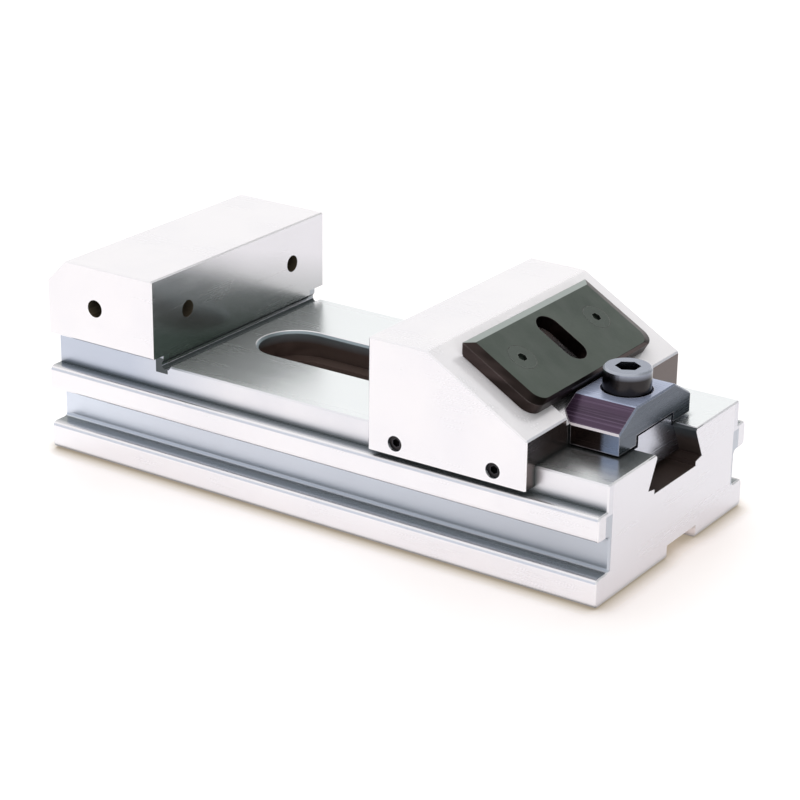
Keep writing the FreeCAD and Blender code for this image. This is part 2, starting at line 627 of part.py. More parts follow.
def make_keeper():
    """Dovetail block that the moving jaw is screwed down to through the slot."""
    body = new_body("jaw_keeper")
    section = sketch_on(body, "YZ_Plane", "keeper_start")
    polygon(section, mirrored(dovetail_corners("saddle", "guide_gap")))
    pad(body, section, "keeper_length")
    taps = sketch_on(body, "XY_Plane", "saddle")
    for place in ("keeper_screw_first", "keeper_screw_last"):
        circle(taps, place, "0", "keeper_screw_radius + fixing_gap")
    pocket(body, taps, "rail_top")
    wells = sketch_on(body, "YZ_Plane", "keeper_start")
    for side in ("", "-"):
        circle(wells, f"{side}draw_side", "draw_up", "draw_head_radius + head_clear")
    pocket(body, wells, "draw_pocket_deep", back=True)
    shanks = sketch_on(body, "YZ_Plane", "keeper_start")
    for side in ("", "-"):
        circle(shanks, f"{side}draw_side", "draw_up", "draw_radius + clear_hole")
    pocket(body, shanks, "2*keeper_length", back=True)
    for name, place in (("front", "keeper_screw_first"), ("rear", "keeper_screw_last")):
        screw = cap_screw(f"keeper_screw_{name}", "keeper_screw_radius", "keeper_screw_head",
                          "keeper_head_height", "keeper_screw_length", "keeper_screw_socket",
                          "keeper_head_height/2")
        stand(screw, place, "0", "keeper_seat")
    return body


def make_skirt_parts():
    """Set screws in the skirts, each pressing a brass pad towards the rail's side."""
    places = (("front", "jaw_face + skirt_hole_front"), ("rear", "jaw_face + skirt_hole_back"))
    for side, sign, angle in (("near", "-", 90), ("far", "", -90)):
        for end, place in places:
            screw = turned_screw(f"skirt_set_screw_{side}_{end}", [
                ("0", "0"), ("(1 - tip_break)*skirt_hole_radius", "0"),
                ("skirt_hole_radius - fixing_gap", "tip_break*skirt_hole_radius"),
                ("skirt_hole_radius - fixing_gap", "skirt_screw_length"),
                ("0", "skirt_screw_length")], "skirt_screw_socket", "skirt_screw_length/2",
                "skirt_screw_length")
            stand(screw, place, f"{sign}(rail_half + slide_gap + pad_length)", "skirt_hole_up",
                  Vector(1, 0, 0), angle)
            disc = new_body(f"rail_pad_{side}_{end}")
            face = sketch_on(disc, "XY_Plane")
            circle(face, "0", "0", "skirt_hole_radius - fixing_gap")
            pad(disc, face, "pad_length")
            stand(disc, place, f"{sign}(rail_half + slide_gap)", "skirt_hole_up",
                  Vector(1, 0, 0), angle)


def make_slider():
    """Dovetail slider that the clamp screw draws the bridge down to."""
    body = new_body("clamp_slider")
    section = sketch_on(body, "YZ_Plane", "slider_start")
    polygon(section, mirrored(dovetail_corners("(rail_top - shoulder_down)", "guide_gap")))
    pad(body, section, "legs_end - slider_start")
    neck = sketch_on(body, "XZ_Plane")
    box_outline(neck, "neck_start", "legs_end", "slot_lip", "neck_top")
    pad(body, neck, "2*neck_half", both=True)
    top = sketch_on(body, "XY_Plane", "neck_top")
    circle(top, "clamp_x", "0", "clamp_screw_radius + thread_gap")
    pocket(body, top, "neck_top")
    well = sketch_on(body, "XY_Plane", "neck_top")
    circle(well, "clamp_x", "0", "lift_pocket_radius")
    pocket(body, well, "lift_pocket_deep")
    pins = sketch_on(body, "XY_Plane", "neck_top")
    for side in ("", "-"):
        circle(pins, "pin_x", f"{side}pin_side", "pin_radius + fixing_gap")
    pocket(body, pins, "neck_top - pin_foot")
    taps = sketch_on(body, "YZ_Plane", "slider_start")
    for side in ("", "-"):
        circle(taps, f"{side}draw_side", "draw_up", "draw_radius + fixing_gap")
    pocket(body, taps, "draw_tap_deep", back=True)
    return body


def make_bridge():
    """Clamp bridge: stands over the slider's neck and bears on the moving jaw's slope."""
    body = new_body("clamp_bridge")
    section = sketch_on(body, "YZ_Plane", "legs - nose_reach")
    polygon(section, mirrored([
        ("channel_half", "channel_top"), ("channel_half", "bridge_foot"), ("bridge_half", "bridge_foot"),
        ("bridge_half", "bridge_shoulder"), ("bridge_top_half", "bridge_top")]))
    pad(body, section, "nose_reach + clamp_length")
    undercut = "(nose_pocket_depth - nose_gap)/cos(slope_angle)"
    ahead = "(legs - 2*nose_reach)"
    below = sketch_on(body, "XZ_Plane")
    polygon(below, [(ahead, "rail_top"), ("legs", "rail_top"),
                    ("legs", f"{slope_height("legs")} - {undercut}"),
                    (ahead, f"{slope_height(ahead)} - {undercut}")])
    pocket(body, below, "4*bridge_half", both=True)
    box = body.Shape.BoundBox
    dress(body, "Chamfer", "Size", "edge_break", lambda edge: middle(edge).z > (box.ZMin + box.ZMax)/2
          and (direction(edge) == "X" or near(middle(edge).x, box.XMax)))
    head = sketch_on(body, "XY_Plane", "bridge_top")
    circle(head, "clamp_x", "0", "clamp_head_radius + clamp_head_clear")
    pocket(body, head, "clamp_head_sink")
    shank = sketch_on(body, "XY_Plane", "bridge_top")
    circle(shank, "clamp_x", "0", "clamp_screw_radius + clear_hole")
    pocket(body, shank, "bridge_top")
    pins = sketch_on(body, "XY_Plane", "pin_hole_top")
    for side in ("", "-"):
        circle(pins, "pin_x", f"{side}pin_side", "pin_radius + slide_gap")
    pocket(body, pins, "pin_hole_top - neck_top")
    return body


def make_clamp_parts():
    """The clamp screw, the guide pins and the two long screws that carry the slider along."""
    clamp = cap_screw("clamp_screw", "clamp_screw_radius", "clamp_head_radius", "clamp_head_height",
                      "clamp_screw_length", "clamp_socket", "clamp_head_height/2")
    stand(clamp, "clamp_x", "0", "head_seat")
    for name, side in (("near", "-"), ("far", "")):
        pin = new_body(f"guide_pin_{name}")
        face = sketch_on(pin, "XY_Plane")
        circle(face, "0", "0", "pin_radius")
        pad(pin, face, "pin_head - pin_foot")
        dress(pin, "Chamfer", "Size", "tip_break*pin_radius", lambda edge: len(edge.Vertexes) == 1)
        stand(pin, "pin_x", f"{side}pin_side", "pin_foot")
        draw = cap_screw(f"draw_screw_{name}", "draw_radius", "draw_head_radius", "draw_head_height",
                         "draw_length", "draw_socket", "draw_head_height/2")
        stand(draw, "keeper_start + draw_pocket_deep - draw_spring_length", f"{side}draw_side", "draw_up",
              Vector(0, 1, 0), -90)


def coil(label, radius, wire, length, turns):
    """A wire spring standing on the origin's plane, its wire six-sided to keep its faces few."""
    body = new_body(label)
    wire_end = sketch_on(body, "XZ_Plane")
    hexagon(wire_end, radius, f"{wire} + spring_rest", f"sqrt(3)*{wire}")
    doc.recompute()
    helix = body.newObject("PartDesign::AdditiveHelix", "Coil")
    helix.Profile = wire_end
    helix.ReferenceAxis = (wire_end, ["V_Axis"])
    helix.Mode = "height-turns-angle"
    helix.Outside = False
    tie(helix, "Height", f"{length} - 2*{wire} - 2*spring_rest")
    tie(helix, "Turns", turns)
    doc.recompute()
    return body


def make_springs():
    """One spring lifts the bridge, two draw the moving jaw back to it."""
    well_foot = "(neck_top - lift_pocket_deep)"
    lift = coil("lift_spring", "lift_spring_radius", "lift_spring_wire",
                f"(channel_top - {well_foot})", "lift_spring_turns")
    stand(lift, "clamp_x", "0", well_foot)
    for name, side in (("near", "-"), ("far", "")):
        spring = coil(f"return_spring_{name}", "draw_spring_radius", "draw_spring_wire",
                      "draw_spring_length", "draw_spring_turns")
        stand(spring, "keeper_start + draw_pocket_deep", f"{side}draw_side", "draw_up",
              Vector(0, 1, 0), -90)


def hand_in():
    """Check every object and write one file for each sub-part."""
    doc.recompute()
    failed = [item.Name for item in doc.Objects if {"Invalid", "Error"} & set(item.State)]
    if failed:
        raise RuntimeError(f"failed objects: {failed}")
    os.makedirs("parts", exist_ok=True)
    bodies = [item for item in doc.Objects if item.TypeId == "PartDesign::Body"]
    for body in bodies:
        shape = body.Shape
        if shape.isNull() or not shape.isValid() or len(shape.Solids) != 1:
            raise RuntimeError(f"{body.Label} is not one sound solid")
        shape.exportStep(f"parts/{body.Label}.step")
        box = shape.BoundBox
        print(f"{body.Label:28s} {shape.Volume:10.1f} mm3  x {box.XMin:6.2f} {box.XMax:6.2f}  "
              f"y {box.YMin:6.2f} {box.YMax:6.2f}  z {box.ZMin:6.2f} {box.ZMax:6.2f}")
    print(f"{len(bodies)} sub-parts written")


make_body()
make_moving_jaw()
make_cover_plate()
make_plate_screws()
make_keeper()
make_skirt_parts()
make_slider()
make_bridge()
make_clamp_parts()
make_springs()
hand_in()
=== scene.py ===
import bpy
import math
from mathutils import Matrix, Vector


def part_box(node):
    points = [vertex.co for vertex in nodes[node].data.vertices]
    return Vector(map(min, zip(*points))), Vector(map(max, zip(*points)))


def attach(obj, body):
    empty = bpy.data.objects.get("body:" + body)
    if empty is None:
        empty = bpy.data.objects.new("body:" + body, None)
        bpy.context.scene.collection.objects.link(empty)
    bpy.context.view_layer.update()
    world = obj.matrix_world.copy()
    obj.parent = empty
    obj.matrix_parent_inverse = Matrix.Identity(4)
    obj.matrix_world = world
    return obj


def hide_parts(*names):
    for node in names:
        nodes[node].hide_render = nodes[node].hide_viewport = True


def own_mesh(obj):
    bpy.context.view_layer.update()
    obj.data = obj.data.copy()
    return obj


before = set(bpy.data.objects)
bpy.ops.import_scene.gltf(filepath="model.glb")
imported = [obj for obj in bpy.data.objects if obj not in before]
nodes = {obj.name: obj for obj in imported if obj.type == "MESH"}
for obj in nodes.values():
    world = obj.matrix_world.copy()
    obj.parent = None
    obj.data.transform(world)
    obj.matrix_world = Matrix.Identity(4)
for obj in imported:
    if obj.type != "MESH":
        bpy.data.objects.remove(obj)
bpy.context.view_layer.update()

from types import SimpleNamespace
from mathutils import Matrix, Vector

bpy.ops.object.select_all(action="DESELECT")

# Rail with the fixed jaw, one piece of hardened tool steel. It is ground bright all over, with
# fine parallel lines, a faint cloud of handling and a thin worn line where two ground faces
# meet. Its recessed sides are milled, and they and its slot are painted darker as painted shade.


def fill(tree, node, terms):
    """Give numbered inputs of a node their number or colour, or the socket that feeds them."""
    for number, term in terms:
        if isinstance(term, (int, float)):
            node.inputs[number].default_value = term
        elif isinstance(term, tuple):
            node.inputs[number].default_value = (*term, 1.0)
        else:
            tree.links.new(term, node.inputs[number])


def put(tree, kind, settings=None, inputs=None, links=None):
    """Add a node: its settings, its plain input values, and the sockets that feed its inputs."""
    node = tree.nodes.new(kind)
    for name, value in (settings or {}).items():
        setattr(node, name, value)
    for name, value in (inputs or {}).items():
        node.inputs[name].default_value = value
    for name, socket in (links or {}).items():
        tree.links.new(socket, node.inputs[name])
    return node


def reckon(tree, operation, *terms, clamp=False):
    """A Math node on numbers or sockets, and its result."""
    node = put(tree, "ShaderNodeMath", {"operation": operation, "use_clamp": clamp})
    fill(tree, node, enumerate(terms))
    return node.outputs[0]


def times(tree, first, *others):
    """The product of numbers or sockets."""
    for other in others:
        first = reckon(tree, "MULTIPLY", first, other)
    return first


def rest_of(tree, share):
    """What a share leaves of one."""
    return reckon(tree, "SUBTRACT", 1.0, share)


def blend_numbers(tree, factor, first, second):
    """Mix two numbers or sockets by a third."""
    node = put(tree, "ShaderNodeMix")
    fill(tree, node, ((0, factor), (2, first), (3, second)))
    return node.outputs[0]


def blend_colors(tree, factor, first, second):
    """Mix two colours or sockets by a number or a socket."""
    node = put(tree, "ShaderNodeMix", {"data_type": "RGBA"})
    fill(tree, node, ((0, factor), (6, first), (7, second)))
    return node.outputs[2]


def spread(tree, value, low, high, first=0.0, last=1.0):
    """Stretch the part of a value between low and high over a new range."""
    return put(tree, "ShaderNodeMapRange", inputs={
        "From Min": low, "From Max": high, "To Min": first, "To Max": last},
        links={"Value": value}).outputs[0]


def within(tree, *sides):
    """A mask that is 1 where each value lies past its low limit and before its high one."""
    tests = []
    for value, low, high in sides:
        if low is not None:
            tests.append(reckon(tree, "GREATER_THAN", value, low))
        if high is not None:
            tests.append(reckon(tree, "LESS_THAN", value, high))
    return times(tree, *tests)


def split(tree, vector):
    """The three parts of a vector."""
    return put(tree, "ShaderNodeSeparateXYZ", links={"Vector": vector}).outputs


def noise(tree, spot, scale, detail=2.0, roughness=0.5, stretch=(1, 1, 1)):
    """Noise on the piece's own coordinates, which may be drawn out along some of its axes."""
    mapping = put(tree, "ShaderNodeMapping", inputs={"Scale": stretch}, links={"Vector": spot})
    texture = put(tree, "ShaderNodeTexNoise", inputs={
        "Scale": scale, "Detail": detail, "Roughness": roughness},
        links={"Vector": mapping.outputs[0]})
    return texture.outputs["Fac"]


def end_on(tree, facing):
    """A mask for the faces that look along the rail."""
    return reckon(tree, "GREATER_THAN", reckon(tree, "ABSOLUTE", facing["X"]), 0.8)


def new_group(name, takes, gives):
    """An empty shader node group: numbers in with their usual values, and named outputs."""
    group = bpy.data.node_groups.new(name, "ShaderNodeTree")
    new_socket, number = group.interface.new_socket, "NodeSocketFloat"
    for label, value in takes:
        new_socket(label, in_out="INPUT", socket_type=number).default_value = value
    for label in gives:
        new_socket(label, in_out="OUTPUT", socket_type=number)
    ends = group.nodes.new("NodeGroupInput"), group.nodes.new("NodeGroupOutput")
    return group, ends[0].outputs, ends[1].inputs


def coordinates(tree):
    """The coordinates of the piece that a material or a group is on."""
    return tree.nodes.new("ShaderNodeTexCoord").outputs


# Grinding lines run along the piece, and across it on the faces that look along it
grinding, taken, given = new_group("grinding lines", [("Fineness", 1.0)], ["Lines", "Passes"])
piece = coordinates(grinding)
across = end_on(grinding, split(grinding, piece["Normal"]))
sized = put(grinding, "ShaderNodeVectorMath", {"operation": "SCALE"},
            links={"Vector": piece["Object"], "Scale": taken["Fineness"]}).outputs[0]
for label, drawn_out, scale, detail, roughness in (("Lines", 0.012, 2400.0, 3.0, 0.7),
                                                   ("Passes", 0.02, 260.0, 1.0, 0.5)):
    long_lines, cross_lines = (
        noise(grinding, sized, scale, detail, roughness, stretch)
        for stretch in ((drawn_out, 1, 1), (1, drawn_out, 1)))
    grinding.links.new(blend_numbers(grinding, across, long_lines, cross_lines), given[label])

# Handling leaves a soft cloud of haze, a few finger-sized patches and fine specks
handling, taken, given = new_group("handling", [("Amount", 1.0)], ["Haze", "Specks"])
piece = coordinates(handling)
for label, scale, detail, roughness, low, high in (("Haze", 38.0, 4.0, 0.55, 0.42, 0.68),
                                                   ("Specks", 900.0, 2.0, 0.6, 0.66, 0.76)):
    cloud = noise(handling, piece["Object"], scale, detail, roughness)
    patches = spread(handling, cloud, low, high)
    handling.links.new(times(handling, patches, taken["Amount"]), given[label])

# Wear shows along edges, broken up so that it never runs as one even line
wearing, taken, given = new_group("worn edges", [("Reach", 0.0005), ("Amount", 1.0)], ["Worn"])
piece = coordinates(wearing)
rounded = put(wearing, "ShaderNodeBevel", {"samples": 6}, links={"Radius": taken["Reach"]})
plain = wearing.nodes.new("ShaderNodeNewGeometry")
turn = put(wearing, "ShaderNodeVectorMath", {"operation": "DOT_PRODUCT"},
           links={0: rounded.outputs[0], 1: plain.outputs["Normal"]}).outputs["Value"]
edge = spread(wearing, turn, 0.995, 0.80)
patches = spread(wearing, noise(wearing, piece["Object"], 300.0, 3.0, 0.6), 0.30, 0.60, 0.35, 1.0)
worn = reckon(wearing, "MULTIPLY", times(wearing, edge, patches), taken["Amount"], clamp=True)
wearing.links.new(worn, given["Worn"])

# Painted shade darkens corners and narrow gaps, the more the closer they are hemmed in
corner_shading, taken, given = new_group("painted corner shade", [("Reach", 0.002), ("Amount", 1.0)], ["Oil"])
nook = put(corner_shading, "ShaderNodeAmbientOcclusion", {"samples": 8},
           links={"Distance": taken["Reach"]})
depth = spread(corner_shading, nook.outputs["AO"], 0.92, 0.50)
corner_shading.links.new(times(corner_shading, depth, taken["Amount"]), given["Oil"])


def use(tree, group, inputs=None):
    """Place a shared node group in a material with its own values."""
    return put(tree, "ShaderNodeGroup", {"node_tree": group}, inputs=inputs).outputs


def new_finish(name, metallic, **plain_inputs):
    """A material with its shader; numbers that are the same all over are set on the shader."""
    material = bpy.data.materials.new(name)
    material.use_nodes = True
    tree = material.node_tree
    shader = tree.nodes["Principled BSDF"]
    shader.inputs["Metallic"].default_value = metallic
    for label, value in plain_inputs.items():
        shader.inputs[label.replace("_", " ")].default_value = value
    return material, tree, shader.inputs, coordinates(tree)


def lay_bump(tree, skin, height, strength, distance):
    """Feed a height to the shader's normal through a Bump node."""
    bump = put(tree, "ShaderNodeBump", inputs={"Strength": strength, "Distance": distance},
               links={"Height": height})
    tree.links.new(bump.outputs[0], skin["Normal"])


def ground_finish(name):
    """Bright ground steel. Its colour, dullness and shine aren't fed to the shader yet."""
    material, tree, skin, piece = new_finish(name, 1.0)
    facing, place = split(tree, piece["Normal"]), split(tree, piece["Object"])
    marks, touch = use(tree, grinding), use(tree, handling)
    worn = use(tree, wearing, {"Reach": 0.0004, "Amount": 0.7})["Worn"]
    bright = blend_colors(tree, touch["Haze"], (0.925, 0.900, 0.915), (0.885, 0.865, 0.890))
    bright = blend_colors(tree, times(tree, touch["Specks"], 0.25), bright, (0.60, 0.58, 0.58))
    # The cross-ground ends are painted darker than the long faces, as painted shade
    bright = blend_colors(tree, end_on(tree, facing), bright, (0.800, 0.790, 0.830))
    bright = blend_colors(tree, times(tree, worn, 0.8), bright, (0.95, 0.94, 0.96))
    # Worn edges scatter the light from all round, and so do the small bevels between top and
    # ends, which are stoned matt by hand. The other faces do it a little, and the tops more.
    stoned = within(tree, (facing["X"], 0.55, 0.97), (facing["Z"], 0.20, 0.85))
    matt = reckon(tree, "MAXIMUM", times(tree, worn, 0.6), times(tree, stoned, 0.9))
    matt = reckon(tree, "MAXIMUM", matt, spread(tree, facing["Z"], 0.90, 0.97, 0.13, 0.30))
    dull = reckon(tree, "ADD", spread(tree, marks["Lines"], 0.3, 0.7, 0.19, 0.24),
                  times(tree, touch["Haze"], 0.05))
    dull = reckon(tree, "ADD", dull, spread(tree, marks["Passes"], 0.35, 0.65, -0.02, 0.03))
    lay_bump(tree, skin, marks["Lines"], 0.03, 0.00002)
    return SimpleNamespace(
        material=material, tree=tree, skin=skin, spot=piece["Object"], place=place,
        facing=facing, marks=marks, bright=bright, dull=dull, shine=rest_of(tree, matt))


def bored(tree, first, second, middle):
    """A mask for the wall of a tapped hole, from its place across the hole's axis."""
    wall_radius = 0.00253
    reach = put(tree, "ShaderNodeCombineXYZ", links={
        "X": reckon(tree, "SUBTRACT", first, middle[0]),
        "Y": reckon(tree, "SUBTRACT", second, middle[1])}).outputs[0]
    length = put(tree, "ShaderNodeVectorMath", {"operation": "LENGTH"}, links={0: reach})
    return reckon(tree, "LESS_THAN", length.outputs["Value"], wall_radius)


rail = ground_finish("ground rail steel")
tree, place, facing = rail.tree, rail.place, rail.facing
aside = reckon(tree, "ABSOLUTE", place["Y"])
rail_top, rail_end = 0.0324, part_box("vise_body")[1][0]
clamp_face_x, hole_height, cap_hole_aside, stop_hole_x = -0.0520, 0.0460, 0.0244, -0.0726
hole_shade_brown, corner_shade_dark = (0.110, 0.085, 0.055), (0.085, 0.105, 0.105)

# The recessed sides are painted a blue grey as painted shade and reflection: the lower web all
# along, lighter towards the fixed jaw, and the upper one mostly below that jaw, in its shadow
web_middle_z = 0.0240
recessed = within(tree, (aside, 0.0330, 0.0362), (place["Z"], 0.0082, 0.0352))
upper_web = reckon(tree, "GREATER_THAN", place["Z"], web_middle_z)
open_part = spread(tree, place["X"], -0.064, -0.030, 0.0, 0.85)
recess_shade = times(tree, recessed, rest_of(tree, times(tree, upper_web, open_part)))
lower_web_shade = blend_colors(tree, spread(tree, place["X"], -0.080, 0.070),
                          (0.740, 0.780, 0.860), (0.540, 0.570, 0.625))
recess_shade_tone = blend_colors(tree, upper_web, lower_web_shade, (0.580, 0.620, 0.710))
bright = blend_colors(tree, recess_shade, rail.bright, recess_shade_tone)
dull = reckon(tree, "ADD", rail.dull, times(tree, recessed, 0.10))

# The flanges' tops carry a darker painted reflection, lighter again at their rims
flange_top_shade = within(tree, (facing["Z"], 0.85, None), (aside, 0.0335, 0.0395),
                    (place["Z"], 0.0065, 0.0262))
flange_top_shade = times(tree, flange_top_shade, spread(tree, aside, 0.0375, 0.0393, 0.85, 0.25))
bright = blend_colors(tree, flange_top_shade, bright, (0.150, 0.180, 0.185))

# The rail's top is rubbed by the moving jaw
rubbed = within(tree, (facing["Z"], 0.9, None),
                (place["Z"], rail_top - 0.0005, rail_top + 0.0005))
bright = blend_colors(tree, rubbed, bright, (0.880, 0.905, 0.910))
dull = blend_numbers(tree, rubbed, dull, reckon(tree, "ADD", times(tree, dull, 0.3), 0.19))
rubbed_shine = times(tree, rail.shine, spread(tree, place["X"], 0.035, 0.060, 1.12, 1.36))
shine = blend_numbers(tree, rubbed, rail.shine, rubbed_shine)

# The clamping face is painted dark green towards its foot and near side, a painted dark reflection
clamp_face = within(tree, (facing["X"], 0.9, None),
                    (place["X"], clamp_face_x - 0.001, clamp_face_x + 0.001),
                    (place["Z"], rail_top, None))
face_shade_line = reckon(tree, "ADD", place["Z"], times(tree, place["Y"], 0.30))
face_shade = times(tree, clamp_face, spread(tree, face_shade_line, 0.030, 0.057, 0.92, 0.0))
bright = blend_colors(tree, face_shade, bright, (0.095, 0.140, 0.110))

# The corner relief at its foot is painted dark, and the walls of the stop hole and the two cap
# holes dark brown, as painted shade
relief_shade = within(tree, (facing["X"], None, 0.95), (facing["Z"], None, 0.95),
                (place["X"], clamp_face_x - 0.0028, clamp_face_x + 0.0014),
                (place["Z"], rail_top - 0.0024, rail_top + 0.0020))
bright = blend_colors(tree, relief_shade, bright, (0.085, 0.095, 0.100))
stop_hole = bored(tree, place["X"], place["Z"], (stop_hole_x, hole_height))
cap_holes = times(tree, bored(tree, aside, place["Z"], (cap_hole_aside, hole_height)),
                  within(tree, (place["X"], clamp_face_x - 0.016, clamp_face_x - 0.0001)))
tapped_shade = reckon(tree, "MAXIMUM", stop_hole, cap_holes)
bright = blend_colors(tree, tapped_shade, bright, hole_shade_brown)
shine = times(tree, shine, rest_of(tree, times(tree, tapped_shade, 0.6)))
# Painted shade darkens the rail's corners and narrow gaps
corner_shade = use(tree, corner_shading, {"Reach": 0.0025, "Amount": 0.8})["Oil"]
bright = blend_colors(tree, corner_shade, bright, corner_shade_dark)

# The slot is painted a brown black below its ground lips as painted shade, darkest towards the
# open end
in_slot = within(tree, (aside, None, 0.0148), (place["Z"], 0.0212, rail_top - 0.0002),
                 (place["X"], -0.0480, rail_end - 0.0001))
lip = spread(tree, place["Z"], rail_top - 0.0042, rail_top - 0.0012)
scale = blend_colors(tree, spread(tree, rail.marks["Passes"], 0.35, 0.65),
                     (0.095, 0.062, 0.052), (0.150, 0.105, 0.090))
scale = blend_colors(tree, lip, scale, (0.300, 0.360, 0.390))
scale = blend_colors(tree, spread(tree, place["X"], 0.030, 0.075, 0.0, 0.75),
                     scale, (0.020, 0.014, 0.012))
tree.links.new(blend_colors(tree, in_slot, bright, scale), rail.skin["Base Color"])
tree.links.new(blend_numbers(tree, in_slot, dull, 0.42), rail.skin["Roughness"])
tree.links.new(blend_numbers(tree, in_slot, shine, times(tree, lip, 0.6)), rail.skin["Metallic"])


def take_up(piece):
    """Select one piece alone, for the operators that follow."""
    bpy.ops.object.select_all(action="DESELECT")
    piece.select_set(True)
    bpy.context.view_layer.objects.active = piece


def work(piece, kind, **settings):
    """Give a piece one modifier with its settings, and apply it."""
    take_up(piece)
    step = piece.modifiers.new(kind.lower(), kind)
    for name, value in settings.items():
        setattr(step, name, value)
    bpy.ops.object.modifier_apply(modifier=step.name)


def dress(piece, node, body, material, angle=28.0):
    """Shade a piece smooth, give it its finish, and let it ride in place of its CAD node."""
    take_up(piece)
    bpy.ops.object.shade_smooth_by_angle(angle=math.radians(angle))
    work(piece, "WEIGHTED_NORMAL", weight=100, keep_sharp=True)
    piece.data.materials.clear()
    piece.data.materials.append(material)
    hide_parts(node)
    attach(piece, body)


def finish_node(name, body, material, angle=28.0, soft_edge=0.0):
    """Dress a CAD node with a joined copy of its own mesh, whose edges may be eased."""
    copy = nodes[name].copy()
    copy.data = nodes[name].data.copy()
    copy.name = f"{name}_finished"
    copy.parent = None
    copy.matrix_world = Matrix.Identity(4)
    bpy.context.scene.collection.objects.link(copy)
    take_up(copy)
    bpy.ops.mesh.customdata_custom_splitnormals_clear()
    bpy.ops.object.mode_set(mode="EDIT")
    bpy.ops.mesh.select_all(action="SELECT")
    bpy.ops.mesh.remove_doubles(threshold=0.000002)
    bpy.ops.object.mode_set(mode="OBJECT")
    if soft_edge:
        work(copy, "BEVEL", width=soft_edge, segments=2, limit_method="ANGLE",
             angle_limit=math.radians(40))
    dress(copy, name, body, material, angle)
    return copy


finish_node("vise_body", "rail", rail.material)

# Moving jaw, which slides on the rail. It is hardened tool steel, ground like the rail, with a
# back slope that the bridge's nose presses on. The slope is stoned matt, and a slot goes down
# through it to the keeper's screws, its walls painted brown as a painted reflection.
jaw = ground_finish("ground jaw steel")
tree, place, facing = jaw.tree, jaw.place, jaw.facing
slope_angle = math.radians(30)
slope_down = Vector((math.cos(slope_angle), 0, -math.sin(slope_angle)))
slope_up = Vector((math.sin(slope_angle), 0, math.cos(slope_angle)))
crest = Vector((0.0381, 0, 0.0580))


def dot(tree, vector, direction):
    """How far a vector reaches along a direction."""
    return put(tree, "ShaderNodeVectorMath", {"operation": "DOT_PRODUCT"},
               inputs={1: direction}, links={0: vector}).outputs["Value"]


def from_crest(tree, spot, direction):
    """How far a point lies from the slope's crest along a direction."""
    return reckon(tree, "SUBTRACT", dot(tree, spot, direction), direction.dot(crest))


down, off = (from_crest(tree, jaw.spot, direction) for direction in (slope_down, slope_up))
aside = reckon(tree, "ABSOLUTE", place["Y"])
slot_middle, slot_half_length, slot_half_width = 0.0164, 0.0086, 0.0044
key_slot_reflection = within(tree, (aside, None, slot_half_width), (off, None, -0.0001),
                  (down, slot_middle - slot_half_length, slot_middle + slot_half_length),
                  (place["Z"], rail_top + 0.001, None))
# The back face below the slope is painted dark brown, as painted shade
back_face_shade = within(tree, (facing["X"], 0.9, None), (place["X"], 0.060, None),
                   (place["Z"], None, 0.048))
bright = blend_colors(tree, back_face_shade, jaw.bright, (0.130, 0.105, 0.100))
# Painted shade darkens every corner but those round the cover plate on the slope
on_slope = reckon(tree, "GREATER_THAN", off, -0.0003)
corner_shade = times(tree, use(tree, corner_shading, {"Reach": 0.0025, "Amount": 0.8})["Oil"],
            rest_of(tree, times(tree, on_slope, 0.9)))
bright = blend_colors(tree, corner_shade, bright, corner_shade_dark)
# The slot's walls are painted brown, a painted reflection
bright = blend_colors(tree, key_slot_reflection, bright, (0.420, 0.300, 0.260))
# The cap holes' walls are painted dark brown, as painted shade
cap_holes = times(tree, bored(tree, aside, place["Z"], (cap_hole_aside, hole_height)),
                  within(tree, (place["X"], 0.0204, 0.0360)))
bright = blend_colors(tree, cap_holes, bright, hole_shade_brown)
# The matt slope mirrors little of the plate
matt_slope = times(tree, on_slope, reckon(tree, "GREATER_THAN", facing["X"], 0.4))
shine = times(tree, jaw.shine, rest_of(tree, times(tree, matt_slope, 0.75)))
dark_holes = reckon(tree, "MAXIMUM", key_slot_reflection, times(tree, cap_holes, 0.6))
tree.links.new(bright, jaw.skin["Base Color"])
tree.links.new(blend_numbers(tree, key_slot_reflection, jaw.dull, 0.45), jaw.skin["Roughness"])
tree.links.new(blend_numbers(tree, dark_holes, shine, 0.0), jaw.skin["Metallic"])
finish_node("moving_jaw", "jaw", jaw.material)

# Cover plate on the moving jaw's slope. It is mild steel, ground flat on top and chemically
# browned to a satin grey-green, with its bevels left dark from the mill. Two flush screws hold
# it, and its window lets a key down to the keeper's screws.
browned, tree, skin, piece = new_finish("browned plate steel", 1.0)
marks, touch = use(tree, grinding, {"Fineness": 0.8}), use(tree, handling)
worn = use(tree, wearing, {"Reach": 0.0005, "Amount": 0.8})["Worn"]
down, off = (from_crest(tree, piece["Object"], direction) for direction in (slope_down, slope_up))
satin = blend_colors(tree, touch["Haze"], (0.108, 0.128, 0.110), (0.090, 0.108, 0.094))
satin = blend_colors(tree, spread(tree, marks["Passes"], 0.4, 0.7, 0.0, 0.35),
                     satin, (0.140, 0.155, 0.142))
mill_skin = blend_colors(tree, spread(tree, marks["Passes"], 0.35, 0.65),
                         (0.030, 0.022, 0.020), (0.075, 0.055, 0.052))
# The bevel at the upper end lies level, and is painted lighter as a painted highlight
level = reckon(tree, "GREATER_THAN", split(tree, piece["Normal"])["Z"], 0.9)
upper_bevel_light = times(tree, level, reckon(tree, "LESS_THAN", down, 0.0062))
dark = blend_colors(tree, upper_bevel_light, mill_skin, (0.36, 0.40, 0.38))
# The ground top looks up off the slope; every other face kept the mill's dark skin
top_face = spread(tree, dot(tree, piece["Normal"], slope_up), 0.965, 0.985)
coat = blend_colors(tree, top_face, dark, satin)
coat = blend_colors(tree, times(tree, worn, 0.40), coat, (0.42, 0.38, 0.38))
